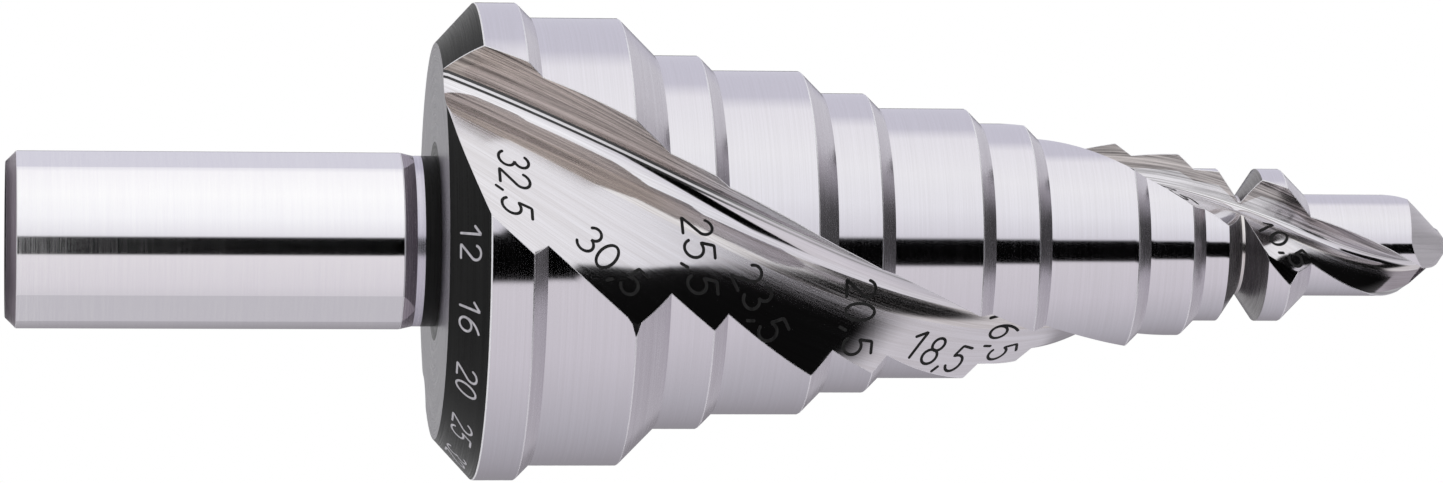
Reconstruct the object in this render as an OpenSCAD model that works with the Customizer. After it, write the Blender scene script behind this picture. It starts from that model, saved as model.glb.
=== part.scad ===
// Step drill for cable gland holes: three flats on a round shank, ten steps, two spiral flutes.
// The axis is +Z with the point up, and the origin is the middle of the shank's end face.

/* [Shank] */
// Diameter of the shank
shank_d = 12; // [9:0.5:13]
// Length of the shank, up to the taper into the neck
shank_len = 26.6; // [18:0.1:40]
// Chamfer at the shank's end
shank_chamfer = 0.7; // [0.3:0.1:1.2]
// Depth of the three flats below the round
flat_depth = 0.17; // [0.1:0.01:0.25]
// Turn of the first flat about the axis
flat_turn = 82; // [0:1:119]
// Diameter of the neck
neck_d = 11.6; // [8:0.1:12]
// Length of the taper from the shank to the neck
neck_taper_len = 0.85; // [0.4:0.05:2]
// Length of the neck
neck_len = 1.55; // [0.5:0.05:5]

/* [Rear of the cone] */
// Diameter of the rear face
rear_face_d = 27; // [25:0.1:30]
// Length of the rear chamfer
rear_chamfer_len = 2.55; // [1:0.05:4]
// Length of the widest step
rear_step_len = 2.8; // [2:0.1:6]

/* [Step diameters] */
// Clearance step of the M32 hole
m32_clear_d = 32.5; // [31.5:0.1:36]
// Core step of the M32 hole
m32_core_d = 30.5; // [28:0.1:31.5]
// Clearance step of the M25 hole
m25_clear_d = 25.5; // [24.5:0.1:27.5]
// Core step of the M25 hole
m25_core_d = 23.5; // [22:0.1:24.5]
// Clearance step of the M20 hole
m20_clear_d = 20.5; // [19.5:0.1:21.5]
// Core step of the M20 hole
m20_core_d = 18.5; // [17.5:0.1:19.5]
// Clearance step of the M16 hole
m16_clear_d = 16.5; // [15.5:0.1:17.5]
// Core step of the M16 hole
m16_core_d = 14.5; // [13.5:0.1:15.5]
// Clearance step of the M12 hole
m12_clear_d = 12.5; // [11.5:0.1:13.5]
// Core step of the M12 hole
m12_core_d = 10.5; // [9:0.1:11.5]
// Diameter of the pilot
pilot_d = 7; // [6:0.1:8.5]

/* [Step lengths] */
// Length of each core step
core_len = 6; // [4:0.1:8]
// Length of each clearance step
clear_len = 3; // [2:0.1:5]
// Angle of the chamfer in front of each step, from the axis
step_chamfer_angle = 45; // [35:1:60]

/* [Groove in the smallest step] */
// Diameter at the bottom of the groove
groove_d = 6.8; // [5.5:0.1:8.5]
// Width of the groove's floor
groove_floor_w = 0.2; // [0.1:0.05:0.6]
// Angle of the groove's walls, from the axis
groove_wall_angle = 55; // [45:1:75]

/* [Point] */
// Length of the pilot, up to the outer corners of the lips
pilot_len = 7.95; // [5:0.05:12]
// Angle between the two lips
point_angle = 118; // [100:1:135]
// Extra slope of the flank behind the lip
flank_fall_slope = 0.23; // [0.05:0.01:0.3]
// Turn behind the lip over which the flank falls
flank_turn = 35; // [20:1:60]
// Half the length of the chisel edge
chisel_half_len = 0.5; // [0.3:0.05:0.8]

/* [Flutes] */
// Helix angle, the same all along the cone
helix_angle = 30; // [20:1:40]
// Turn of the first cutting edge at the widest step
flute_turn = 215.3; // [180:0.1:260]
// Web thickness at the widest step
web_rear = 26; // [24:0.1:27]
// Web thickness at the point
web_tip = 0.8; // [0.6:0.05:1.4]
// Curve of the cutting face towards the flute, near the cutting edge
face_hook = 0.8; // [0:0.05:1.2]
// Slope of the flute's floor at its root
floor_slope = 0.1; // [0:0.01:0.2]
// Bend of the flute's floor away from the cutting face
floor_bend_share = 0.12; // [0.05:0.01:0.18]
// Extra slope of the flute's floor beside the heel
heel_slope = 1; // [0:0.1:1.2]
// Lead of the lips in front of the middle of the drill
lip_lead = 1; // [0:0.1:1.4]

/* [Hidden] */
$fn = 120;

// Places along the axis
neck_z = shank_len + neck_taper_len;
rear_z = neck_z + neck_len;
cone_z = rear_z + rear_chamfer_len;

// Steps from the rear to the tip, as [diameter, length]
STEPS = [
    [m32_clear_d, rear_step_len],
    [m32_core_d, core_len],
    [m25_clear_d, clear_len],
    [m25_core_d, core_len],
    [m20_clear_d, clear_len],
    [m20_core_d, core_len],
    [m16_clear_d, clear_len],
    [m16_core_d, core_len],
    [m12_clear_d, clear_len],
    [m12_core_d, core_len],
    [pilot_d, pilot_len],
];
last = len(STEPS) - 1;

function chamfer_len(i) = (STEPS[i][0] - STEPS[i + 1][0]) / 2 / tan(step_chamfer_angle);
function step_z(i) = i == 0 ? cone_z : step_z(i - 1) + STEPS[i - 1][1] + chamfer_len(i - 1);

pilot_r = pilot_d / 2;
lip_z = step_z(last) + pilot_len;
tip_z = lip_z + pilot_r / tan(point_angle / 2);

// The turned blank has some length to spare above the point, and each cutter runs out past it
spare = 0.5;
run_out = 1;
blank_end_z = tip_z + spare;
flute_start_z = rear_z - run_out;
flute_end_z = tip_z + run_out;

// The flutes follow a cone from just outside the widest step to just inside the pilot
cone_rear_over = 0.57;
cone_tip_share = 0.82;
cone_rear_r = m32_clear_d / 2 + cone_rear_over;
cone_tip_r = cone_tip_share * pilot_r;
cone_taper = (cone_rear_r - cone_tip_r) / (tip_z - cone_z);
function cone_r(z) = cone_rear_r - cone_taper * (z - cone_z);
function cone_r_to_z(r) = cone_z + (cone_rear_r - r) / cone_taper;
function turn_at(r) = flute_turn + tan(helix_angle) / cone_taper * ln(cone_rear_r / r) * 180 / PI;
function from_rear_to_tip(rear, tip, z) = rear + (tip - rear) * (z - cone_z) / (tip_z - cone_z);

// Section of a flute: v runs outwards along the cutting face and w away from it into the flute.
// The hook's start, the root's dip and fillet and the places along the face and the floor are
// shares of the cone's radius. The cutter's top stands clear of the steps, which rise above the cone.
slice_count = 84;
fillet_count = 4;
hook_share = 0.8;
FACE_SHARES = [1.1, 1.03, 0.97, 0.91, 0.85];
root_dip_share = 0.021;
root_fillet_share = 0.035;
FLOOR_SHARES = [0.2, 0.35, 0.5, 0.65, 0.78, 0.84, 0.95, 1.1, 1.3];
heel_share = 0.84;
cutter_over = 4;
function face_w(v, r) = lip_lead * (1 - v / r) + face_hook * pow(max(v / r - hook_share, 0), 2) * r;
function floor_v(w, r, web) =
    web - floor_slope * w - floor_bend_share * w * w / r - heel_slope * max(w - heel_share * r, 0);
function flute_section(z) =
    let (
        r = cone_r(z),
        web = from_rear_to_tip(web_rear, web_tip, z) / 2,
        top_v = r + cutter_over,
        root_v = web - root_dip_share * r,
        fillet = root_fillet_share * r,
        corner_w = face_w(root_v, r),
        end_w = corner_w + FLOOR_SHARES[len(FLOOR_SHARES) - 1] * r
    )
    [
        [top_v, face_w(FACE_SHARES[0] * r, r)],
        for (share = FACE_SHARES) [share * r, face_w(share * r, r)],
        for (i = [0:fillet_count])
            let (a = 90 * i / fillet_count)
            [root_v + fillet * (1 - sin(a)), corner_w + fillet * (1 - cos(a))],
        for (share = FLOOR_SHARES)
            let (w = corner_w + share * r)
            [floor_v(w, r, web), w],
        [top_v, end_w],
    ];

// Slices of the flute cutter stand closer together towards the tip, an equal turn apart
r_start = cone_r(flute_start_z);
r_end = cone_r(flute_end_z);
function slice_r(i) = r_start * pow(r_end / r_start, i / slice_count);
function slice_points(i) =
    let (r = slice_r(i), z = cone_r_to_z(r), turn = turn_at(r))
    [
        for (p = flute_section(z))
            [p[0] * cos(turn) - p[1] * sin(turn), p[0] * sin(turn) + p[1] * cos(turn), z],
    ];

module flute_cutter() {
    n = len(flute_section(cone_z));
    points = [for (i = [0:slice_count]) each slice_points(i)];
    sides = [
        for (i = [0:slice_count - 1], j = [0:n - 1])
            let (
                a = i * n + j,
                b = i * n + (j + 1) % n,
                c = b + n,
                d = a + n
            )
            each [[a, b, c], [a, c, d]],
    ];
    first_cap = [for (j = [n - 1:-1:0]) j];
    last_cap = [for (j = [0:n - 1]) slice_count * n + j];
    polyhedron(points, concat(sides, [first_cap, last_cap]));
}

// Profile of the turned blank, from the shank's end to above the point
groove_half_w = groove_floor_w / 2 + (m12_core_d - groove_d) / 2 / tan(groove_wall_angle);
groove_z = step_z(last - 1) + core_len / 2;
function step_points(i) = [
    [STEPS[i][0] / 2, step_z(i)],
    [STEPS[i][0] / 2, i == last ? blank_end_z : step_z(i) + STEPS[i][1]],
];
module turned_blank() {
    shank_r = shank_d / 2;
    rotate_extrude()
        polygon([
            [0, 0],
            [shank_r - shank_chamfer, 0],
            [shank_r, shank_chamfer],
            [shank_r, shank_len],
            [neck_d / 2, neck_z],
            [neck_d / 2, rear_z],
            [rear_face_d / 2, rear_z],
            for (i = [0:last]) each step_points(i),
            [0, blank_end_z],
        ]);
}

module groove() {
    over_w = run_out / tan(groove_wall_angle);
    translate([0, 0, groove_z])
        rotate_extrude()
            polygon([
                [groove_d / 2, -groove_floor_w / 2],
                [m12_core_d / 2 + run_out, -groove_half_w - over_w],
                [m12_core_d / 2 + run_out, groove_half_w + over_w],
                [groove_d / 2, groove_floor_w / 2],
            ]);
}

flat_count = 3;
module shank_flats() {
    for (i = [0:flat_count - 1])
        rotate(flat_turn + 360 / flat_count * i)
            translate([shank_d / 2 - flat_depth, -shank_d / 2, -run_out])
                cube([shank_d, shank_d, neck_z + run_out]);
}

// Flanks of the point: each falls away behind its lip, and inside the flute it rises again.
// The rise takes flank_rise_turn, and it ends flank_lead_turn before the next lip.
ring_count = 72;
flank_lead_turn = 62;
flank_rise_turn = 22;
lip_turn = turn_at(cone_r(lip_z));

// The grinding shape is a ring outside the pilot, drawn up to the two ends of the chisel edge
ring_share = 1.6;
ring_r = ring_share * pilot_r;
chisel_turn = 55;
function flank_slope(t) =
    let (
        behind = (t + flank_lead_turn) % 180 - flank_lead_turn,
        fall = sin(90 * min(max(behind / flank_turn, 0), 1)),
        rise = (180 - flank_lead_turn - behind) / flank_rise_turn
    )
    1 / tan(point_angle / 2) + flank_fall_slope * min(fall, rise);

module point_grinding() {
    reach = pilot_r * (ring_r - chisel_half_len) / (pilot_r - chisel_half_len);
    top_z = flute_end_z + run_out;
    ring = [
        for (i = [0:ring_count - 1])
            let (a = 360 * i / ring_count)
            [ring_r * cos(a), ring_r * sin(a), tip_z - flank_slope(360 - a) * reach],
    ];
    rim = [for (p = ring) [p[0], p[1], top_z]];
    along = [cos(chisel_turn), sin(chisel_turn)];
    chisel = [for (s = chisel_half_len * [1, -1]) [s * along[0], s * along[1], tip_z]];
    near = [for (p = ring) p[0] * along[0] + p[1] * along[1] > 0 ? 0 : 1];
    first_chisel = 2 * ring_count;
    rotate(lip_turn)
        polyhedron(
            concat(ring, rim, chisel),
            concat(
                [
                    for (i = [0:ring_count - 1])
                        let (j = (i + 1) % ring_count, c = first_chisel + near[i])
                        [i, j, c],
                ],
                [
                    for (i = [0:ring_count - 1])
                        let (j = (i + 1) % ring_count)
                        if (near[i] != near[j]) [first_chisel + near[i], j, first_chisel + near[j]],
                ],
                [
                    for (i = [0:ring_count - 1])
                        let (j = (i + 1) % ring_count)
                        each [[i, i + ring_count, j + ring_count], [i, j + ring_count, j]],
                ],
                [[for (i = [ring_count - 1:-1:0]) i + ring_count]]
            )
        );
}

STEEL = [0.78, 0.77, 0.81];
module step_drill() {
    color(STEEL)
        difference() {
            turned_blank();
            groove();
            shank_flats();
            flute_cutter();
            rotate(180) flute_cutter();
            point_grinding();
        }
}

step_drill();
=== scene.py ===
"""Looks of the step drill: a fine mesh of the ground steel, its numbers, the studio and the camera.

Lengths are in millimetres until a mesh is made, and metres from there on.
"""

import math

import bmesh
import bpy
import numpy as np
from mathutils import Matrix, Vector


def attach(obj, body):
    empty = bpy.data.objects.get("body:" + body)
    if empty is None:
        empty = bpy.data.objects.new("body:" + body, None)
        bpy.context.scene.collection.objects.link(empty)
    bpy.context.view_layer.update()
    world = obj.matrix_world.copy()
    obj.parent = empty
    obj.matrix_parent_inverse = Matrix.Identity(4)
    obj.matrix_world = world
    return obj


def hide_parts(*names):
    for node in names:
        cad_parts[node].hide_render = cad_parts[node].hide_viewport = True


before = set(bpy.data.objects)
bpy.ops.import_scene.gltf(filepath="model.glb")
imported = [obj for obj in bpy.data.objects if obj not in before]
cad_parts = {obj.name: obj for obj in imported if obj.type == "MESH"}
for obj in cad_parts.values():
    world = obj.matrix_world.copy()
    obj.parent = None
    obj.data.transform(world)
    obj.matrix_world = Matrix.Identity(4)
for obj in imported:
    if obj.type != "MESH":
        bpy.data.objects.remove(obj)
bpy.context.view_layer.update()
MM = 0.001

# Turned body, as in the part's source
SHANK_R = 6.0
SHANK_LEN = 26.6
SHANK_CHAMFER = 0.7
FLAT_DEPTH = 0.17
FLAT_TURN = math.radians(82)
FLATS = 3
NECK_R = 5.8
TAPER_LEN = 0.85
NECK_LEN = 1.55
REAR_FACE_R = 13.5
REAR_CHAMFER_LEN = 2.55
NECK_Z = SHANK_LEN + TAPER_LEN
REAR_Z = NECK_Z + NECK_LEN
CONE_Z = REAR_Z + REAR_CHAMFER_LEN
CORE_LEN = 6.0
CLEAR_LEN = 3.0
PILOT_LEN = 7.95
STEPS = [
    (32.5, 2.8),
    (30.5, CORE_LEN),
    (25.5, CLEAR_LEN),
    (23.5, CORE_LEN),
    (20.5, CLEAR_LEN),
    (18.5, CORE_LEN),
    (16.5, CLEAR_LEN),
    (14.5, CORE_LEN),
    (12.5, CLEAR_LEN),
    (10.5, CORE_LEN),
    (7.0, PILOT_LEN),
]
PILOT_R = STEPS[-1][0] / 2
GROOVE_R = 3.4
GROOVE_FLOOR = 0.2
GROOVE_WALL = math.radians(55)
POINT_ANGLE = math.radians(118)
GRIND_R = 1.6 * PILOT_R
FLANK_LEAD = math.radians(62)
FLANK_FALL = 0.23
FLANK_FALL_TURN = math.radians(35)
FLANK_RISE_TURN = math.radians(22)
CHISEL = 0.5
CHISEL_LEAD = math.radians(55)


def step_z(i):
    """Where step i starts, after the 45 degree chamfers in front of the wider ones."""
    drops = (STEPS[0][0] - STEPS[i][0]) / 2
    return CONE_Z + sum(length for _, length in STEPS[:i]) + drops


LIP_Z = step_z(len(STEPS) - 1) + PILOT_LEN
TIP_Z = LIP_Z + PILOT_R / math.tan(POINT_ANGLE / 2)

# Flutes, as in the part's source but for the cove and the strip at their root. In a section, v runs
# outwards beside the cutting face and w away from it, both from the drill's axis.
HELIX = math.radians(30)
FLUTE_TURN = math.radians(215.3)
LIP_LEAD = 1.0
WEB_REAR = 26.0
WEB_TIP = 0.8
FLOOR_SLOPE = 0.1
FLOOR_BEND = 0.12
HEEL_SLOPE = 1.0
HEEL_SHARE = 0.84
FACE_HOOK = 0.8
HOOK_SHARE = 0.8
ROOT_DIP = 0.021
COVE_TOP = 0.025
COVE_SHARE = 0.13
COVE_TURN = math.radians(45)
STRIP_SHARE = 0.26
CONE_PAST_STEP = 0.57
CONE_TIP_SHARE = 0.82
CONE_REAR_R = STEPS[0][0] / 2 + CONE_PAST_STEP
CONE_TIP_R = CONE_TIP_SHARE * PILOT_R
CONE_TAPER = (CONE_REAR_R - CONE_TIP_R) / (TIP_Z - CONE_Z)


def cone_r(z):
    """Radius of the cone that the flutes follow."""
    return CONE_REAR_R - CONE_TAPER * (z - CONE_Z)


def turn_at(z):
    """Azimuth of the first cutting face."""
    return FLUTE_TURN + math.tan(HELIX) / CONE_TAPER * math.log(CONE_REAR_R / cone_r(z))


def web_at(z):
    """Half of the web that the flutes leave between them."""
    return (WEB_REAR + (WEB_TIP - WEB_REAR) * (z - CONE_Z) / (TIP_Z - CONE_Z)) / 2


def step_up(value, low, high):
    """0 below low, 1 above high and a smooth rise between."""
    x = min(max((value - low) / (high - low), 0), 1)
    return x * x * (3 - 2 * x)


def root_at(z):
    """The corner under the cutting face, as v and w."""
    v = web_at(z) - ROOT_DIP * cone_r(z)
    return v, LIP_LEAD * (1 - v / cone_r(z))


def floor_v(z, w):
    """Height of the flute's floor: a cove at the root, a rise out of it, and a bend at the heel."""
    r, web = cone_r(z), web_at(z)
    root_v, corner_w = root_at(z)
    beside_heel = HEEL_SLOPE * max(w - HEEL_SHARE * r, 0)
    line_v = web - FLOOR_SLOPE * w - FLOOR_BEND * w * w / r - beside_heel
    across = (w - corner_w) / r
    if across >= STRIP_SHARE:
        return line_v
    cove_r = COVE_SHARE / math.sin(COVE_TURN)
    bottom_v = root_v + (COVE_TOP - cove_r * (1 - math.cos(COVE_TURN))) * r
    if across < COVE_SHARE:
        off = (COVE_SHARE - across) / cove_r
        return bottom_v + cove_r * (1 - math.sqrt(1 - off * off)) * r
    return bottom_v + (line_v - bottom_v) * step_up(across, COVE_SHARE, STRIP_SHARE)


def turned(z, v, w, half=0):
    """A point of a flute's section, as x, y, z."""
    a = turn_at(z) + math.pi * half
    return v * math.cos(a) - w * math.sin(a), v * math.sin(a) + w * math.cos(a), z


# The mesh: its fine edges, the pitch of its rows, and the columns that each stretch of the outline
# takes in half a turn. Two columns beside the root are the feet of the cutting face, dark lines of painted
# reflection.
EDGE = 0.05
ROW_PITCH = 0.3
SAME_PLACE = 0.01
SAME_POINT = 1e-9
HALVINGS = 50
SHANK_ROWS = 30
TAPER_ROWS = (0.3, 0.6)
NECK_ROWS = (0.25, 0.55)
END_FACE_RADII = (0.01, 1, 2.4, 4)
REAR_RINGS = 8
# Inner share of the rear face that is black with painted shade round the neck
PAINTED_SHADE_RING_SHARE = 0.2
POINT_LEN = 2.4
POINT_PITCH = 0.02
POINT_ROWS = 16
PAST_TIP = 0.1
FLANK_ROWS = 10
FLAT_COLS = 14
LEAST_FLAT_TURN = math.radians(0.5)
FACE_COLS = 10
FACE_ROOT_COLS = 5
COVE_COLS = 14
STRIP_COLS = 9
FLOOR_COLS = 18
HEEL_COLS = 4
LAND_COLS = 54
STRETCHES = [
    ("face", FACE_COLS - FACE_ROOT_COLS),
    ("face_root", FACE_ROOT_COLS),
    ("foot", 1),
    ("cove", 1),
    ("foot", 1),
    ("cove", COVE_COLS - 3),
    ("strip", STRIP_COLS),
    ("floor", FLOOR_COLS - HEEL_COLS - 1),
    ("heel", HEEL_COLS),
    ("edge", 1),
    ("land", LAND_COLS - 1),
    ("edge", 1),
]
COLS = 2 * sum(n for _, n in STRETCHES)
STRETCH_OF_COL = [name for name, n in STRETCHES for _ in range(n)] * 2


def crossing(radius_at, radius, inside, outside):
    """Where a curve that leaves the centre reaches a radius, by halving."""
    for _ in range(HALVINGS):
        middle = (inside + outside) / 2
        if radius_at(middle) < radius:
            inside = middle
        else:
            outside = middle
    return inside


def flute_columns(z, radius):
    """One flute's section from cutting edge to heel, as v, w and the distance from the root."""
    r = cone_r(z)
    root_v, corner_w = root_at(z)
    top_v = root_v + COVE_TOP * r

    def on_face(v):
        return v, LIP_LEAD * (1 - v / r) + FACE_HOOK * max(v / r - HOOK_SHARE, 0) ** 2 * r

    def floor_radius(w):
        return math.hypot(floor_v(z, w), w)

    edge_v = crossing(lambda v: math.hypot(*on_face(v)), radius, 0, radius) - EDGE
    cove_w = corner_w + COVE_SHARE * r
    first_w = corner_w if edge_v > top_v else crossing(floor_radius, radius, cove_w, corner_w)
    heel_w = max(crossing(floor_radius, radius, cove_w, radius) - EDGE, cove_w)
    strip_w = min(corner_w + STRIP_SHARE * r, heel_w)
    points = []
    for v in np.linspace(max(edge_v, top_v), top_v, FACE_COLS, endpoint=False):
        on_cove = floor_v(z, first_w), first_w
        points.append((*(on_face(v) if edge_v > top_v else on_cove), root_v - v))
    for w in np.linspace(first_w, cove_w, COVE_COLS, endpoint=False):
        points.append((floor_v(z, w), w, w - corner_w))
    for w in np.linspace(cove_w, strip_w, STRIP_COLS, endpoint=False):
        points.append((floor_v(z, w), w, w - corner_w))
    bend_w = min(HEEL_SHARE * r, heel_w)
    floor_w = list(np.linspace(strip_w, bend_w, FLOOR_COLS - HEEL_COLS))
    for w in floor_w + list(np.linspace(bend_w, heel_w, HEEL_COLS + 1)[1:]):
        points.append((floor_v(z, w), w, w - corner_w))
    return points


def outline(z, radius):
    """The drill's section with both flutes: its points, and their distances from the root."""
    points = []
    across = []
    flute = flute_columns(z, radius)
    edge_turn = math.atan2(flute[0][1], flute[0][0]) - EDGE / radius
    heel_turn = math.atan2(flute[-1][1], flute[-1][0]) + EDGE / radius
    for half in (0, 1):
        for v, w, u in flute:
            points.append(turned(z, v, w, half))
            across.append(u)
        for a in np.linspace(heel_turn, math.pi + edge_turn, LAND_COLS):
            points.append(turned(z, radius * math.cos(a), radius * math.sin(a), half))
            across.append(flute[-1][2])
    return np.array(points), np.array(across)


def flank_z(x, y):
    """Height of the ground point over x, y: a cone about each end of the chisel edge."""
    chisel_turn = turn_at(LIP_Z) + CHISEL_LEAD
    reach = PILOT_R * (GRIND_R - CHISEL) / (PILOT_R - CHISEL)
    p = x * math.cos(chisel_turn) + y * math.sin(chisel_turn)
    q = -x * math.sin(chisel_turn) + y * math.cos(chisel_turn)
    if abs(p) <= CHISEL * (1 - abs(q) / GRIND_R):
        share = abs(q) / GRIND_R
        ring = 0, math.copysign(GRIND_R, q)
    else:
        end = math.copysign(CHISEL, p)
        length = math.hypot(p - end, q)
        if length < SAME_POINT:
            return TIP_Z
        along = end * (p - end) / length
        far = -along + math.sqrt(along * along + GRIND_R * GRIND_R - CHISEL * CHISEL)
        share = length / far
        ring = end + (p - end) / length * far, q / length * far
    a = math.atan2(ring[1], ring[0]) + CHISEL_LEAD
    behind = (FLANK_LEAD - a) % math.pi - FLANK_LEAD
    fall = math.sin(math.pi / 2 * min(max(behind / FLANK_FALL_TURN, 0), 1))
    rise = (math.pi - FLANK_LEAD - behind) / FLANK_RISE_TURN
    return TIP_Z - share * reach * (1 / math.tan(POINT_ANGLE / 2) + FLANK_FALL * min(fall, rise))


class Skin:
    """Rows of points round the drill, and the kind of surface between each row and the next."""

    def __init__(self):
        self.rows = []
        self.kinds = []

    def add(self, points, kind, across=None):
        """One more row, and the kind of the surface between it and the row before."""
        self.rows.append((np.asarray(points, float), np.zeros(COLS) if across is None else across))
        self.kinds.append(kind)


def polar(radii, turns, z):
    """One row of points from their radii and azimuths."""
    return np.column_stack([radii * np.cos(turns), radii * np.sin(turns), np.full(COLS, float(z))])


def shank_section(radius):
    """Section of the shank, a circle with three flats: radii and azimuths."""
    flat_r = SHANK_R - FLAT_DEPTH
    pitch = 2 * math.pi / FLATS
    round_cols = COLS // FLATS - FLAT_COLS
    reach = max(math.acos(min(flat_r / max(radius, flat_r), 1)), LEAST_FLAT_TURN)
    turns = []
    for i in range(FLATS):
        middle = FLAT_TURN + pitch * i
        turns += list(middle + np.linspace(-reach, reach, FLAT_COLS, endpoint=False))
        turns += list(middle + np.linspace(reach, pitch - reach, round_cols, endpoint=False))
    turns = np.array(turns)
    off = (turns - FLAT_TURN + pitch / 2) % pitch - pitch / 2
    return np.minimum(radius, flat_r / np.cos(off)), turns


def add_shank(skin, shift):
    """End face, chamfer, shank with its flats, taper and neck. Returns the neck's azimuths."""
    end_r = SHANK_R - SHANK_CHAMFER
    lengths = np.linspace(SHANK_CHAMFER + EDGE, SHANK_LEN - EDGE, SHANK_ROWS)
    narrowing = (SHANK_R - NECK_R) / TAPER_LEN
    profile = [(0, r, "end_face") for r in (*END_FACE_RADII, end_r - EDGE)]
    profile += [(EDGE / 2, end_r, "edge"), (SHANK_CHAMFER, SHANK_R - EDGE / 2, "shank_chamfer")]
    profile += [(z, SHANK_R, "shank") for z in lengths]
    profile += [(SHANK_LEN + EDGE, SHANK_R - EDGE / 3, "edge")]
    for run in (*TAPER_ROWS, TAPER_LEN):
        profile.append((SHANK_LEN + run, SHANK_R - narrowing * run, "taper"))
    profile += [(NECK_Z + run, NECK_R, "neck") for run in NECK_ROWS]
    # The neck's last stretch into the rear face is black with painted shade
    profile += [(REAR_Z, NECK_R, "neck_foot")]
    for z, radius, kind in profile:
        radii, turns = (np.roll(a, shift) for a in shank_section(radius))
        skin.add(polar(radii, turns, z), kind)
    return turns


def add_rear_face(skin, neck_turns):
    """The flat ring behind the cone, whose columns turn from the neck's to the outline's. Its inner rings
    are black with painted shade round the neck.
    """
    rim, _ = outline(REAR_Z, REAR_FACE_R)
    rim_r = np.hypot(rim[:, 0], rim[:, 1])
    rim_turns = np.unwrap(np.arctan2(rim[:, 1], rim[:, 0]))
    neck_turns = np.unwrap(neck_turns)
    off = np.round((rim_turns - neck_turns).mean() / (2 * math.pi)) * 2 * math.pi
    for share in np.arange(1, REAR_RINGS) / REAR_RINGS:
        radii = NECK_R + (rim_r - NECK_R) * share
        ring_turns = neck_turns + (rim_turns - off - neck_turns) * share
        skin.add(polar(radii, ring_turns, REAR_Z), "neck_foot" if share < PAINTED_SHADE_RING_SHARE else "rear_face")


def cone_profile():
    """Places where the turned profile of the cone changes, as z, radius and kind of surface."""
    places = [(REAR_Z, REAR_FACE_R, "rear_face")]
    places.append((CONE_Z - EDGE, STEPS[0][0] / 2 - EDGE, "rear_chamfer"))
    last = len(STEPS) - 1
    for i, (diameter, length) in enumerate(STEPS):
        r, start, end = diameter / 2, step_z(i), step_z(i) + length
        places.append((start if i else start + EDGE, r, "step_chamfer" if i else "edge"))
        if i == last:
            places.append((LIP_Z - POINT_LEN, r, "land"))
            break
        if i == last - 1:
            middle = start + CORE_LEN / 2
            half = GROOVE_FLOOR / 2 + (r - GROOVE_R) / math.tan(GROOVE_WALL)
            places.append((middle - half, r, "land"))
            places.append((middle - GROOVE_FLOOR / 2, GROOVE_R, "groove"))
            places.append((middle + GROOVE_FLOOR / 2, GROOVE_R, "groove_floor"))
            places.append((middle + half, r, "groove"))
        places.append((end - EDGE, r, "land"))
        places.append((end + EDGE, r - EDGE, "edge"))
    return places


def add_cone(skin):
    """The steps, the groove and the pilot, cut by both flutes. Returns where the point starts."""
    places = cone_profile()
    skin.add(*outline_row(*places[0]))
    for (z0, r0, _), (z1, r1, kind) in zip(places, places[1:]):
        rows = max(1, math.ceil((z1 - z0) / ROW_PITCH))
        for share in np.arange(1, rows + 1) / rows:
            skin.add(*outline_row(z0 + (z1 - z0) * share, r0 + (r1 - r0) * share, kind))
    return places[-1][0]


def outline_row(z, radius, kind):
    """The outline as one row of the skin."""
    points, across = outline(z, radius)
    return points, kind, across


def add_point(skin, start_z):
    """Each column climbs until it meets the ground flanks, which then close over the web."""
    heights = np.arange(start_z, TIP_Z + PAST_TIP, POINT_PITCH)
    stack = [outline(z, PILOT_R) for z in heights]
    tops = []
    for j in range(COLS):
        over = [points[j, 2] - flank_z(points[j, 0], points[j, 1]) for points, _ in stack]
        i = next(i for i, gap in enumerate(over) if gap > 0)
        tops.append(i - over[i] / (over[i] - over[i - 1]))
    tops = np.array(tops)
    cols = np.arange(COLS)
    points = np.array([p for p, _ in stack])
    across = np.array([a for _, a in stack])
    for share in np.arange(1, POINT_ROWS + 1) / POINT_ROWS:
        place = tops * share
        low = np.floor(place).astype(int)
        part = place - low
        skin.add(
            points[low, cols] * (1 - part)[:, None] + points[low + 1, cols] * part[:, None],
            "land",
            across[low, cols] * (1 - part) + across[low + 1, cols] * part,
        )
    rim = skin.rows[-1][0]
    a = turn_at(LIP_Z) + CHISEL_LEAD
    along = np.array([math.cos(a), math.sin(a)])
    ends = np.sign(rim[:, :2] @ along)[:, None] * CHISEL * along
    for share in np.arange(1, FLANK_ROWS + 1) / FLANK_ROWS:
        flat = rim[:, :2] + (ends - rim[:, :2]) * share
        skin.add([(x, y, flank_z(x, y)) for x, y in flat], "flank")


def drill_skin():
    """All rows from the shank's end to the point, with the shank's columns shifted to meet the cone's."""
    skin = Skin()
    rim, _ = outline(REAR_Z, REAR_FACE_R)
    rim_turns = np.unwrap(np.arctan2(rim[:, 1], rim[:, 0]))
    mean_off = (rim_turns - shank_section(NECK_R)[1]).mean() % (2 * math.pi)
    shift = -round(mean_off / (2 * math.pi) * COLS)
    neck_turns = add_shank(skin, shift)
    add_rear_face(skin, neck_turns)
    add_point(skin, add_cone(skin))
    return skin


# Materials: one for each kind of surface, from fine lines, broad scratches and grain. The depth of
# the lines is in metres. On the map, a turn about the axis counts as on a radius of TURN_R.
LINE_SCALE = (9.0, 0.15)
LINE_DETAIL = 4.0
SCRATCH_SCALE = (2.5, 0.04)
SCRATCH_DETAIL = 3.0
GRAIN_SCALE = (14.0, 9.0)
GRAIN_DETAIL = 2.0
STREAK_ROUGHNESS = 0.6
SCRATCHES_IN_COLOUR = 0.5
SCRATCHES_IN_DEPTH = 0.35
GRAIN_IN_ROUGHNESS = 0.4
TONES = (0.3, 0.7)
ROUGHNESS_RANGE = (0.7, 1.4)
LINE_DEPTH = 0.0000016
TURN_R = 10


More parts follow.
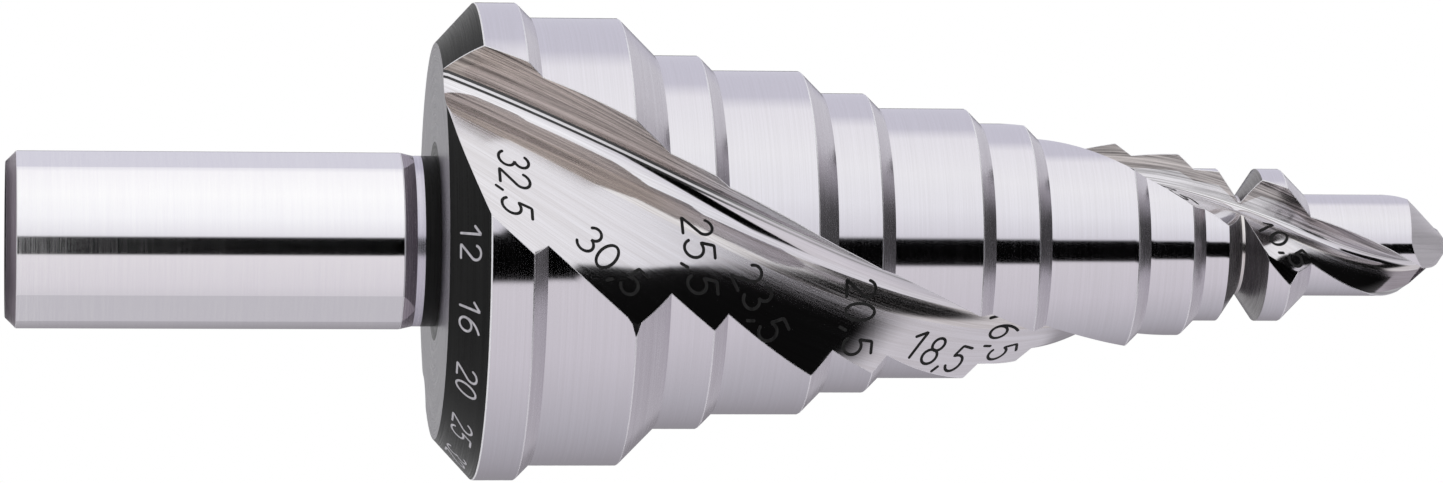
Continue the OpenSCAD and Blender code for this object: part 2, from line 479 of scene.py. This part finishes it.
def streaks(nodes, links, uv, scale, detail):
    """Noise drawn out along the second coordinate of the map, in features to a millimetre."""
    mapping = nodes.new("ShaderNodeMapping")
    mapping.inputs["Scale"].default_value = (*scale, 1)
    links.new(uv, mapping.inputs["Vector"])
    noise = nodes.new("ShaderNodeTexNoise")
    noise.inputs["Scale"].default_value = 1
    noise.inputs["Detail"].default_value = detail
    noise.inputs["Roughness"].default_value = STREAK_ROUGHNESS
    links.new(mapping.outputs["Vector"], noise.inputs["Vector"])
    return noise.outputs["Fac"]


def ramp(nodes, links, value, stops):
    """Colours over a value: each stop is a place and a colour or a grey."""
    node = nodes.new("ShaderNodeValToRGB")
    node.color_ramp.interpolation = "EASE"
    marks = node.color_ramp.elements
    while len(marks) < len(stops):
        marks.new(0.5)
    for mark, (place, colour) in zip(marks, stops):
        mark.position = place
        mark.color = (*(colour if isinstance(colour, tuple) else (colour,) * 3), 1)
    links.new(value, node.inputs["Fac"])
    return node.outputs["Color"]


def mixed(nodes, links, a, b, share, kind="MIX"):
    """Two colours mixed, or multiplied with each other."""
    node = nodes.new("ShaderNodeMix")
    node.data_type = "RGBA"
    node.blend_type = kind
    node.inputs["Factor"].default_value = share
    links.new(a, node.inputs["A"])
    links.new(b, node.inputs["B"])
    return node.outputs["Result"]


def scaled(nodes, links, value, axis, stops):
    """A value times a ramp over the flute's map.

    X is the distance from the flute's root as a share of the cone's radius. Y runs from 0 at the
    rear face to 1 at the tip.
    """
    layer = nodes.new("ShaderNodeUVMap")
    layer.uv_map = "flute"
    parts = nodes.new("ShaderNodeSeparateXYZ")
    links.new(layer.outputs["UV"], parts.inputs["Vector"])
    return mixed(nodes, links, value, ramp(nodes, links, parts.outputs[axis], stops), 1, "MULTIPLY")


def steel(name, low, high, rough, tones=TONES, line=LINE_SCALE, scratch=SCRATCH_SCALE, bump=1.0,
          metallic=1.0, specular=0.5, dulls=None, fades=None):
    """Ground steel between two colours, with fine lines and scratches along its map.

    Dulls are factors of the roughness over the distance from a flute's root, and fades are factors
    of the colour along the cone.
    """
    material = bpy.data.materials.new(name)
    material.use_nodes = True
    nodes, links = material.node_tree.nodes, material.node_tree.links
    shader = nodes["Principled BSDF"]
    shader.inputs["Metallic"].default_value = metallic
    shader.inputs["Specular IOR Level"].default_value = specular
    uv = nodes.new("ShaderNodeUVMap")
    uv.uv_map = "millimetres"
    fine = streaks(nodes, links, uv.outputs["UV"], line, LINE_DETAIL)
    broad = streaks(nodes, links, uv.outputs["UV"], scratch, SCRATCH_DETAIL)
    grain = streaks(nodes, links, uv.outputs["UV"], GRAIN_SCALE, GRAIN_DETAIL)
    tone = mixed(nodes, links, fine, broad, SCRATCHES_IN_COLOUR)
    colour = ramp(nodes, links, tone, list(zip(tones, (low, high))))
    if fades:
        colour = scaled(nodes, links, colour, "Y", fades)
    links.new(colour, shader.inputs["Base Color"])
    blend = mixed(nodes, links, fine, grain, GRAIN_IN_ROUGHNESS)
    levels = [rough * factor for factor in ROUGHNESS_RANGE]
    spread = ramp(nodes, links, blend, list(zip(TONES, levels)))
    if dulls:
        spread = scaled(nodes, links, spread, "X", dulls)
    links.new(spread, shader.inputs["Roughness"])
    height = nodes.new("ShaderNodeBump")
    height.inputs["Strength"].default_value = 1
    height.inputs["Distance"].default_value = LINE_DEPTH * bump
    links.new(mixed(nodes, links, fine, broad, SCRATCHES_IN_DEPTH), height.inputs["Height"])
    links.new(height.outputs["Normal"], shader.inputs["Normal"])
    return material


def body_steels():
    """The finishes of the turned body."""
    turned_lines = {"line": (12.0, 0.12), "scratch": (5.0, 0.03)}
    return {
        "shank": steel("ground_shank", (0.95, 0.94, 0.965), (0.985, 0.98, 0.99), 0.08, bump=0.4),
        "land": steel(
            "turned_land", (0.765, 0.75, 0.785), (0.82, 0.805, 0.85), 0.08, bump=0.5, **turned_lines
        ),
        "chamfer": steel("ground_chamfer", (0.55, 0.52, 0.56), (0.65, 0.625, 0.665), 0.22),
        "neck": steel("ground_neck", (0.62, 0.60, 0.68), (0.78, 0.76, 0.84), 0.2),
        "taper": steel("ground_taper", (0.30, 0.26, 0.30), (0.42, 0.38, 0.42), 0.22),
        "rear_face": steel("dull_rear_face", (0.145, 0.137, 0.156), (0.20, 0.189, 0.215), 0.3),
        # Black oxide on the rear chamfer; on the neck's foot and the rear face's inner rings the same
        # black is painted shade
        "dark": steel("black_oxide_and_painted_shade", 0.004, 0.012, 0.34, metallic=0.0, specular=0.13),
        "groove": steel("turned_groove", (0.16, 0.15, 0.155), (0.3, 0.29, 0.3), 0.25),
        "edge": steel("bright_edge", (0.8, 0.79, 0.82), (0.95, 0.94, 0.96), 0.4),
        "flank": steel(
            "ground_flank", (0.44, 0.42, 0.45), (0.53, 0.505, 0.54), 0.42, bump=0.5, metallic=0.5
        ),
        "mark": steel("dark_mark", 0.008, 0.02, 0.5, metallic=0.0, specular=0.1),
        "rear_mark": steel("pale_mark", (0.42, 0.41, 0.44), (0.62, 0.60, 0.64), 0.5, metallic=0.0),
    }


def flute_steels():
    """The finishes of the flutes' stretches. The cutting face is brown near the rear, and its feet and the
    heel are dark with painted reflection.
    """
    brown = (0.74, 0.665, 0.60)
    pale = (0.92, 0.92, 0.95)
    rear_fades = [(0.2, brown), (0.32, pale), (0.6, pale)]
    tip_fades = [(0.66, (0.74, 0.70, 0.67)), (0.86, (0.78, 0.74, 0.72)), (0.92, (0.92, 0.91, 0.93))]
    return {
        "face": steel(
            "cutting_face", (0.12, 0.115, 0.12), (0.92, 0.90, 0.92), 0.2,
            tones=(0.36, 0.62), bump=2.0, fades=rear_fades + tip_fades,
        ),
        "face_root": steel(
            "face_root", (0.26, 0.25, 0.255), (0.95, 0.93, 0.96), 0.2,
            tones=(0.34, 0.64), bump=2.0, fades=rear_fades + [(0.66, 1.0)],
        ),
        # Painted reflection: dark lines at the cutting face's foot near the rear, fading to pale towards
        # the tip
        "foot": steel("face_foot_painted_reflection", 0.4, 0.8, 0.2, fades=[(0.22, 0.12), (0.34, 0.9)]),
        "cove": steel("root_cove", (0.70, 0.68, 0.70), (0.92, 0.91, 0.94), 0.07),
        "strip": steel("root_strip", (0.62, 0.58, 0.56), (0.92, 0.90, 0.90), 0.16),
        "floor": steel(
            "flute_floor", (0.68, 0.655, 0.67), (0.82, 0.805, 0.84), 0.06,
            dulls=[(0.22, 4.0), (0.45, 1.0)], fades=[(0.9, 1.0), (0.95, (0.55, 0.52, 0.53))],
        ),
        # Painted reflection: the heel's facet is dark, nearly black until close to the tip, standing in
        # for the black that the floor beside it reflects
        "heel": steel("flute_heel_painted_reflection", 0.30, 0.62, 0.2, fades=[(0.80, 0.03), (0.90, 1.0)]),
    }


# Which finish a kind of surface takes, where it isn't the one of its own name
FINISH = {
    "end_face": "rear_face",
    "shank_chamfer": "taper",
    # The neck's foot takes the black as painted shade; the rear chamfer's black is its oxide
    "neck_foot": "dark",
    "rear_chamfer": "dark",
    "step_chamfer": "chamfer",
    "groove_floor": "strip",
}
FLUTE_STRETCHES = ("face", "face_root", "foot", "cove", "strip", "floor", "heel")
CONE_KINDS = ("edge", "rear_chamfer", "land", "step_chamfer", "groove", "groove_floor")

# The mesh of the drill: lengths in metres for its welds, and the turn that makes an edge sharp
WELD_REACH = 0.000002
LEAST_EDGE = 0.000001
SHARP_TURN = math.radians(12.5)


def finish_of(kind, in_cone, stretch):
    """The finish of a face: on the cone, a flute's stretches and the fine edges have their own."""
    if in_cone and (stretch == "edge" or stretch in FLUTE_STRETCHES):
        return stretch
    return FINISH.get(kind, kind)


def map_place(kind, in_flute, point, across, length, turn):
    """Where a corner lies on the map of the fine lines, in millimetres."""
    if in_flute:
        return across, point[2] / math.cos(HELIX)
    if kind == "flank":
        return point[0], point[1]
    return length, turn * TURN_R


def add_drill(finishes):
    """The whole drill as one welded mesh, with the two maps of its materials."""
    skin = drill_skin()
    rows = skin.rows
    names = list(finishes)
    pitches = [np.median(np.linalg.norm(b - a, axis=1)) for (a, _), (b, _) in zip(rows, rows[1:])]
    lengths = np.concatenate([[0], np.cumsum(pitches)])
    turns = [np.unwrap(np.arctan2(points[:, 1], points[:, 0])) for points, _ in rows]
    faces, slots, places, shares = [], [], [], []
    for i, kind in enumerate(skin.kinds[1:]):
        in_cone = kind in CONE_KINDS and rows[i][0][:, 2].min() > REAR_Z - SAME_PLACE
        for j, stretch in enumerate(STRETCH_OF_COL):
            k = (j + 1) % COLS
            corners = ((i, j), (i, k), (i + 1, k), (i + 1, j))
            faces.append([row * COLS + col for row, col in corners])
            slots.append(names.index(finish_of(kind, in_cone, stretch)))
            in_flute = in_cone and stretch in FLUTE_STRETCHES
            for row, col in corners:
                point, across = rows[row][0][col], rows[row][1][col]
                turn = turns[row][col] + (2 * math.pi if k < j and col == k else 0)
                places.append(map_place(kind, in_flute, point, across, lengths[row], turn))
                shares.append((across / cone_r(point[2]), (point[2] - REAR_Z) / (TIP_Z - REAR_Z)))
    mesh = bpy.data.meshes.new("drill")
    mesh.from_pydata((np.concatenate([points for points, _ in rows]) * MM).tolist(), [], faces)
    for finish in finishes.values():
        mesh.materials.append(finish)
    mesh.polygons.foreach_set("material_index", slots)
    mesh.polygons.foreach_set("use_smooth", [True] * len(faces))
    for name, values in (("millimetres", places), ("flute", shares)):
        layer = mesh.uv_layers.new(name=name)
        layer.data.foreach_set("uv", np.array(values, np.float32).ravel())
    mend(mesh, join=True)
    mesh.set_sharp_from_angle(angle=SHARP_TURN)
    drill = bpy.data.objects.new("drill", mesh)
    bpy.context.scene.collection.objects.link(drill)
    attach(drill, "root")
    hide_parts("step_drill")


def mend(mesh, join=False):
    """Turns all faces outwards. With join, points that meet are joined first, and empty faces go."""
    work = bmesh.new()
    work.from_mesh(mesh)
    if join:
        bmesh.ops.remove_doubles(work, verts=work.verts, dist=WELD_REACH)
        bmesh.ops.dissolve_degenerate(work, dist=LEAST_EDGE, edges=work.edges)
    bmesh.ops.recalc_face_normals(work, faces=work.faces)
    work.to_mesh(mesh)
    work.free()


# Plain numbers, in strokes on a cell one unit high. Ribbons stand a little above their surface and
# reach below it.
GLYPH_W = 0.54
ADVANCE = 0.74
COMMA_ADVANCE = 0.36
SLANT = 0.08
MARK_TOP = 0.012
MARK_BOTTOM = -0.02
ARC_STEP = 15
STROKE_STEP = 0.04
CAP_TURNS = (85, 60, 30)


def arc(x, y, rx, ry, start, end):
    """Points along part of an ellipse, between two angles in degrees."""
    steps = math.ceil(abs(end - start) / ARC_STEP)
    turns = np.radians(np.linspace(start, end, steps + 1))
    return [(x + rx * math.cos(a), y + ry * math.sin(a)) for a in turns]


GLYPHS = {
    "0": [arc(0.27, 0.5, 0.27, 0.5, 0, 360)],
    "1": [[(0.06, 0.7), (0.34, 1), (0.34, 0)]],
    "2": [arc(0.27, 0.72, 0.26, 0.28, 165, -30) + [(0.02, 0), (0.54, 0)]],
    "3": [arc(0.26, 0.76, 0.23, 0.24, 150, -85) + arc(0.26, 0.27, 0.28, 0.27, 85, -150)],
    "4": [[(0.42, 0), (0.42, 1), (0, 0.3), (0.56, 0.3)]],
    "5": [[(0.5, 1), (0.12, 1), (0.06, 0.56)] + arc(0.26, 0.32, 0.28, 0.32, 125, -150)],
    "6": [arc(0.27, 0.3, 0.27, 0.3, 170, -190), arc(0.62, 0.3, 0.62, 0.7, 170, 108)],
    "8": [arc(0.27, 0.76, 0.21, 0.24, -90, 270), arc(0.27, 0.27, 0.27, 0.27, 90, -270)],
    ",": [[(0.12, 0.05), (0.03, -0.15)]],
}


def advance(letter):
    """How far a letter moves the next one on."""
    return COMMA_ADVANCE if letter == "," else ADVANCE


def evened(line):
    """A line with its points an equal distance apart and its corners a little rounded."""
    line = np.array(line)
    far = np.concatenate([[0], np.cumsum(np.hypot(*np.diff(line, axis=0).T))])
    steps = np.linspace(0, far[-1], math.ceil(far[-1] / STROKE_STEP) + 1)
    fine = np.column_stack([np.interp(steps, far, line[:, i]) for i in (0, 1)])
    fine[1:-1] = (fine[:-2] + 2 * fine[1:-1] + fine[2:]) / 4
    return fine


def stroke_edges(line, half_w):
    """The two sides of a stroke with round ends, or of a closed loop, as lists of points."""
    closed = np.allclose(line[0], line[-1])
    along = np.gradient(line, axis=0)
    if closed:
        line = line[:-1]
        along = np.roll(line, -1, axis=0) - np.roll(line, 1, axis=0)
    along /= np.hypot(*along.T)[:, None]
    widths = np.full(len(line), half_w)
    if not closed:
        caps = np.radians(CAP_TURNS)
        start = [line[0] - along[0] * half_w * math.sin(a) for a in caps]
        end = [line[-1] + along[-1] * half_w * math.sin(a) for a in caps[::-1]]
        line = np.concatenate([start, line, end])
        along = np.concatenate([[along[0]] * len(caps), along, [along[-1]] * len(caps)])
        widths = np.concatenate([half_w * np.cos(caps), widths, half_w * np.cos(caps[::-1])])
    aside = np.column_stack([-along[:, 1], along[:, 0]]) * widths[:, None]
    return line + aside, line - aside, closed


def add_text(points, faces, text, size, stroke_w, place):
    """Adds a text's strokes as thin closed ribbons: place puts x, y and a lift on the surface."""
    run = sum(advance(letter) for letter in text[:-1]) + GLYPH_W
    x0 = -run / 2
    for letter in text:
        for stroke in GLYPHS[letter]:
            line = evened([(x + SLANT * (y - 0.5), y - 0.5) for x, y in stroke])
            left, right, closed = stroke_edges((line + (x0, 0)) * size, stroke_w / 2)
            n = len(left)
            first, second, third, fourth = starts = [len(points) + n * k for k in range(4)]
            points += [place(x, y, MARK_TOP) for x, y in left]
            points += [place(x, y, MARK_TOP) for x, y in right]
            points += [place(x, y, MARK_BOTTOM) for x, y in right]
            points += [place(x, y, MARK_BOTTOM) for x, y in left]
            for i in range(n if closed else n - 1):
                j = (i + 1) % n
                for a, b in ((first, second), (second, third), (third, fourth), (fourth, first)):
                    faces.append((a + i, b + i, b + j, a + j))
            if not closed:
                faces.append(tuple(reversed(starts)))
                faces.append(tuple(start + n - 1 for start in starts))
        x0 += advance(letter)


def on_floor(z, share, turn, half):
    """A text's plane on a flute's floor, turned from the flute's direction towards the heel."""
    w = share * cone_r(z)
    step = 0.01

    def at(z, w):
        return np.array(turned(z, floor_v(z, w), w, half))

    along = (at(z + step, w) - at(z - step, w)) / step / 2
    across = (at(z, w + step) - at(z, w - step)) / step / 2
    e1 = along / np.linalg.norm(along)
    e2 = across - e1 * (across @ e1)
    e2 /= np.linalg.norm(e2)
    c, s = math.cos(math.radians(turn)), math.sin(math.radians(turn))
    to_flute = np.linalg.pinv(np.column_stack([along, across]))

    def place(x, y, lift):
        dz, dw = to_flute @ (x * (c * e1 + s * e2) + y * (s * e1 - c * e2))
        here = at(z + dz, w + dw)
        normal = np.cross(at(z + dz, w + dw + step) - here, at(z + dz + step, w + dw) - here)
        normal *= math.copysign(1, normal[:2] @ here[:2]) / np.linalg.norm(normal)
        return here + normal * lift

    return place


def on_chamfer(middle):
    """A text's plane on the rear chamfer, round an azimuth, with its foot to the rear."""
    rise = STEPS[0][0] / 2 - REAR_FACE_R
    length = math.hypot(rise, CONE_Z - REAR_Z)
    out, forth = rise / length, (CONE_Z - REAR_Z) / length
    centre_r, centre_z = REAR_FACE_R + rise / 2, (REAR_Z + CONE_Z) / 2

    def place(x, y, lift):
        a = middle + x / centre_r
        r = centre_r + y * out + lift * forth
        return np.array([r * math.cos(a), r * math.sin(a), centre_z + y * forth - lift * out])

    return place


# Text, z, w as a share of the cone's radius, turn from the flute's direction, and which flute
SIZE_MARKS = [
    ("32,5", 33.3, 0.49, 65, 0),
    ("30,5", 39.7, 0.61, 14, 0),
    ("25,5", 45.9, 0.37, 62, 0),
    ("23,5", 50.1, 0.475, 38, 0),
    ("20,5", 57.2, 0.37, 69, 0),
    ("18,5", 63.1, 0.52, 11, 0),
    ("16,5", 67.9, 0.35, 64, 0),
    ("14,5", 72.8, 0.36, 40, 1),
    ("12,5", 79.0, 0.45, 40, 1),
    ("10,5", 87.0, 0.47, 25, 1),
]
SIZE_MARK_H = 2.2
SIZE_MARK_LEAST = 0.35
SIZE_MARK_GROWTH = 0.08
SIZE_STROKE_W = 0.22
REAR_MARK_H = 1.8
REAR_STROKE_W = 0.17
REAR_MARKS = ["12", "16", "20", "25", "32"]
REAR_MARK_PITCH = 5.0
REAR_MARK_LEAD = 3.5


def add_marks(name, points, faces, finish):
    """A piece of numbers, whose finish lies on the map by y and z."""
    mesh = bpy.data.meshes.new(name)
    mesh.from_pydata((np.array(points) * MM).tolist(), [], faces)
    mesh.materials.append(finish)
    layer = mesh.uv_layers.new(name="millimetres")
    corners = np.array([points[loop.vertex_index][1:] for loop in mesh.loops], np.float32)
    layer.data.foreach_set("uv", corners.ravel())
    mend(mesh)
    marks = bpy.data.objects.new(name, mesh)
    bpy.context.scene.collection.objects.link(marks)
    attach(marks, "root")


def add_size_marks(finish):
    """The steps' diameters, on the floor of the flutes."""
    points, faces = [], []
    for text, z, share, turn, half in SIZE_MARKS:
        size = SIZE_MARK_H * min(1, SIZE_MARK_LEAST + SIZE_MARK_GROWTH * cone_r(z))
        add_text(points, faces, text, size, SIZE_STROKE_W, on_floor(z, share, turn, half))
    add_marks("size_marks", points, faces, finish)


def add_rear_marks(finish):
    """Plain numbers round the rear chamfer, on both lands."""
    points, faces = [], []
    centre_r = (REAR_FACE_R + STEPS[0][0] / 2) / 2
    rim, _ = outline((REAR_Z + CONE_Z) / 2, centre_r)
    first_land = rim[[COLS // 2 - LAND_COLS, COLS // 2]]
    start, end = np.unwrap(np.arctan2(first_land[:, 1], first_land[:, 0]))
    first_off = -(len(REAR_MARKS) - 1) / 2 * REAR_MARK_PITCH - REAR_MARK_LEAD
    for half in (0, 1):
        for i, text in enumerate(REAR_MARKS):
            off = first_off + i * REAR_MARK_PITCH
            place = on_chamfer((start + end) / 2 + math.pi * half + off / centre_r)
            add_text(points, faces, text, REAR_MARK_H, REAR_STROKE_W, place)
    add_marks("rear_marks", points, faces, finish)


# The photograph's camera, fitted to the steps' outlines: pixels, radians and metres, with the
# sensor in millimetres
IMAGE_W = 1443
FOCAL_PX = 6292
YAW = 0.1233
ROLL = 0.0044
CAMERA_AT = (-0.000065, -0.42693, -0.00423)
SENSOR_W = 36
NEAREST = 0.01


def add_camera():
    """The camera, with the drill's axis from left to right in its picture."""
    forward = Vector((0, math.cos(YAW), math.sin(YAW)))
    level = Vector((0, -math.sin(YAW), math.cos(YAW)))
    side = Vector((-1, 0, 0))
    right = level * math.cos(ROLL) + side * math.sin(ROLL)
    up = side * math.cos(ROLL) - level * math.sin(ROLL)
    data = bpy.data.cameras.new("camera")
    data.sensor_width = SENSOR_W
    data.lens = SENSOR_W * FOCAL_PX / IMAGE_W
    data.clip_start = NEAREST
    camera = bpy.data.objects.new("camera", data)
    facing = Matrix((right, up, -forward)).transposed().to_4x4()
    camera.matrix_world = Matrix.Translation(CAMERA_AT) @ facing
    bpy.context.scene.collection.objects.link(camera)
    bpy.context.scene.camera = camera


# The studio, in metres
FLOOR_HALF = 3.0
FLOOR_COLOUR = (0.88, 0.88, 0.89, 1)
FLOOR_ROUGHNESS = 0.7
UNSEEN_STRENGTH = 0.6
LAMP_SIZE = 0.6
LAMP_POWER = 3
LAMP_AT = Vector((-0.25, -0.25, 0.8))
LAMP_AIM = Vector((0, 0, 0.04))


def seen_only_by(obj, *rays):
    """Hides an object from all kinds of ray but those named."""
    for ray in ("camera", "diffuse", "glossy", "transmission", "volume_scatter", "shadow"):
        setattr(obj, "visible_" + ray, ray in rays)


def add_floor():
    """A pale floor, see-through from below, where the photograph's camera stands by 4 mm."""
    mesh = bpy.data.meshes.new("floor")
    corners = [(x * FLOOR_HALF, y * FLOOR_HALF, 0) for x, y in ((-1, -1), (1, -1), (1, 1), (-1, 1))]
    mesh.from_pydata(corners, [], [(0, 1, 2, 3)])
    material = bpy.data.materials.new("floor")
    material.use_nodes = True
    nodes, links = material.node_tree.nodes, material.node_tree.links
    shader = nodes["Principled BSDF"]
    shader.inputs["Base Color"].default_value = FLOOR_COLOUR
    shader.inputs["Roughness"].default_value = FLOOR_ROUGHNESS
    clear = nodes.new("ShaderNodeBsdfTransparent")
    side = nodes.new("ShaderNodeNewGeometry")
    mix = nodes.new("ShaderNodeMixShader")
    links.new(side.outputs["Backfacing"], mix.inputs["Fac"])
    links.new(shader.outputs["BSDF"], mix.inputs[1])
    links.new(clear.outputs["BSDF"], mix.inputs[2])
    links.new(mix.outputs["Shader"], nodes["Material Output"].inputs["Surface"])
    mesh.materials.append(material)
    floor = bpy.data.objects.new("floor", mesh)
    bpy.context.scene.collection.objects.link(floor)


# What the steel reflects: a cloth tent with soft and dark panels. An angle round the drill's axis
# starts at the camera's side and grows towards the upper edge of the photograph.
TENT_R = 0.8
TENT_FOOT = 0.001
TENT_TOP = 1.3
TENT_COLS = 481
TENT_ROWS = 131
TENT_END_COLS = 81
LOW_BANDS = [
    (-180, (0.26, 0.25, 0.27)),
    (-150, (0.34, 0.325, 0.35)),
    (-110, (0.50, 0.485, 0.52)),
    (-60, (0.68, 0.65, 0.69)),
    (-20, (0.74, 0.71, 0.74)),
    (-18, (0.0, 0.0, 0.0)),
    (3, (0.0, 0.0, 0.0)),
    (5, (0.78, 0.77, 0.81)),
    (30, (0.94, 0.94, 0.96)),
    (60, (1.0, 1.0, 1.0)),
    (100, (0.95, 0.94, 0.96)),
    (114, (0.68, 0.67, 0.74)),
    (168, (0.64, 0.63, 0.71)),
    (172, (0.05, 0.05, 0.05)),
    (180, (0.05, 0.05, 0.05)),
]
HIGH_BANDS = [
    (-180, (0.5, 0.49, 0.52)),
    (-130, (0.66, 0.64, 0.68)),
    (-60, (0.70, 0.68, 0.71)),
    (0, (0.78, 0.76, 0.80)),
    (30, (0.84, 0.84, 0.87)),
    (60, (0.95, 0.95, 0.97)),
    (106, (1.0, 1.0, 1.0)),
    (120, (0.9, 0.9, 0.92)),
    (180, (0.7, 0.7, 0.75)),
]
HIGH_FROM = (0.38, 0.44)

# The tent's opening: its lower edge over the angle, how soft that is, its two sides and its level
OPENING_EDGE = [(3, 0.65), (50, 0.9461), (180, 1.1411)]
OPENING_SOFT = 0.012
OPENING_STARTS = (-66, -42)
OPENING_ENDS = (120, 132)
OPENING_LEVEL = 0.004

# The tent's end: its colour, and a dark part between two edges. Both spread on the camera's side,
# and the upper one falls on the far side.
END_COLOUR = np.array((0.66, 0.64, 0.68))
END_UPPER_EDGE = (0.22, 0.85)
END_LOWER_EDGE = (-0.30, -0.20)
END_SPREAD_FROM = 0.1
END_SPREAD = 3
END_FALL_FROM = 0.2
END_FALL = 0.8
END_DEEPER = (0.15, 0.4)
END_LEVELS = (0.09, 0.004)


def band_light(bands, angle):
    """The colour at an angle, between the bands on either side."""
    places, colours = zip(*bands)
    return np.array([np.interp(angle, places, channel) for channel in zip(*colours)])


def tent_light(angle, z):
    """Brightness of the tent's side: the dark opening lies above a slanting edge."""
    high = step_up(z, *HIGH_FROM)
    light = band_light(LOW_BANDS, angle) * (1 - high) + band_light(HIGH_BANDS, angle) * high
    edge = np.interp(angle, *zip(*OPENING_EDGE))
    opening = step_up(z, edge - OPENING_SOFT, edge + OPENING_SOFT)
    opening *= step_up(angle, *OPENING_STARTS) * (1 - step_up(angle, *OPENING_ENDS))
    return light * (1 - opening) + OPENING_LEVEL * opening


def end_light(towards, up):
    """Brightness of the tent's end beyond the point, darkest on the camera's side."""
    spread = max(towards - END_SPREAD_FROM, 0) * END_SPREAD
    fall = max(-towards - END_FALL_FROM, 0) * END_FALL
    under = 1 - step_up(up, *(edge + spread - fall for edge in END_UPPER_EDGE))
    over = step_up(up, *(edge - spread for edge in END_LOWER_EDGE))
    dark = under * over
    level = END_LEVELS[0] + (END_LEVELS[1] - END_LEVELS[0]) * step_up(towards, *END_DEEPER)
    return END_COLOUR * (1 - dark) + level * dark


def glow(name):
    """An unlit material that shows the colours stored in the mesh."""
    material = bpy.data.materials.new(name)
    material.use_nodes = True
    nodes, links = material.node_tree.nodes, material.node_tree.links
    nodes.remove(nodes["Principled BSDF"])
    stored = nodes.new("ShaderNodeAttribute")
    stored.attribute_name = "light"
    emission = nodes.new("ShaderNodeEmission")
    links.new(stored.outputs["Color"], emission.inputs["Color"])
    links.new(emission.outputs["Emission"], nodes["Material Output"].inputs["Surface"])
    return material


def add_panel(name, points, lights, faces):
    """A part of the studio that shows only in the drill's reflections."""
    mesh = bpy.data.meshes.new(name)
    mesh.from_pydata(points, [], faces)
    colours = np.column_stack([np.array(lights), np.ones(len(lights))]).astype(np.float32)
    mesh.attributes.new("light", "FLOAT_COLOR", "POINT").data.foreach_set("color", colours.ravel())
    mesh.materials.append(glow(name))
    panel = bpy.data.objects.new(name, mesh)
    bpy.context.scene.collection.objects.link(panel)
    seen_only_by(panel, "glossy")


def grid_faces(rows, cols):
    """The faces of a grid of points."""
    return [
        (i * cols + j, i * cols + j + 1, (i + 1) * cols + j + 1, (i + 1) * cols + j)
        for i in range(rows - 1)
        for j in range(cols - 1)
    ]


def add_tent():
    """The tent's side, and its end beyond the drill's point."""
    angles = np.linspace(-180, 180, TENT_COLS)
    heights = np.linspace(TENT_FOOT, TENT_TOP, TENT_ROWS)
    ring = [(-TENT_R * math.sin(turn), -TENT_R * math.cos(turn)) for turn in np.radians(angles)]
    points = [(*place, z) for z in heights for place in ring]
    lights = [tent_light(angle, z) for z in heights for angle in angles]
    add_panel("tent", points, lights, grid_faces(TENT_ROWS, TENT_COLS))
    spots = np.linspace(-TENT_R, TENT_R, TENT_END_COLS)
    places = [(towards, up) for up in spots for towards in spots]
    points = [(-up, -towards, TENT_TOP) for towards, up in places]
    lights = [end_light(towards, up) for towards, up in places]
    add_panel("tent_end", points, lights, grid_faces(TENT_END_COLS, TENT_END_COLS))


def add_light():
    """A white world, at full strength where it is seen, and a soft lamp overhead for the floor."""
    world = bpy.data.worlds.new("world")
    bpy.context.scene.world = world
    world.use_nodes = True
    nodes, links = world.node_tree.nodes, world.node_tree.links
    background = nodes["Background"]
    background.inputs["Color"].default_value = (1, 1, 1, 1)
    path = nodes.new("ShaderNodeLightPath")
    seen = path.outputs["Is Camera Ray"]
    for ray in ("Is Glossy Ray", "Is Transmission Ray"):
        either = nodes.new("ShaderNodeMath")
        either.operation = "MAXIMUM"
        links.new(seen, either.inputs[0])
        links.new(path.outputs[ray], either.inputs[1])
        seen = either.outputs["Value"]
    strength = nodes.new("ShaderNodeMapRange")
    strength.inputs["To Min"].default_value = UNSEEN_STRENGTH
    strength.inputs["To Max"].default_value = 1
    links.new(seen, strength.inputs["Value"])
    links.new(strength.outputs["Result"], background.inputs["Strength"])
    data = bpy.data.lights.new("overhead", "AREA")
    data.size = LAMP_SIZE
    data.energy = LAMP_POWER
    lamp = bpy.data.objects.new("overhead", data)
    lamp.location = LAMP_AT
    lamp.rotation_euler = (LAMP_AIM - LAMP_AT).to_track_quat("-Z", "Y").to_euler()
    bpy.context.scene.collection.objects.link(lamp)
    seen_only_by(lamp, "diffuse", "shadow")


add_camera()
finishes = {**body_steels(), **flute_steels()}
add_drill(finishes)
add_size_marks(finishes["mark"])
add_rear_marks(finishes["rear_mark"])
add_floor()
add_tent()
add_light()
bpy.context.scene.view_settings.view_transform = "Standard"
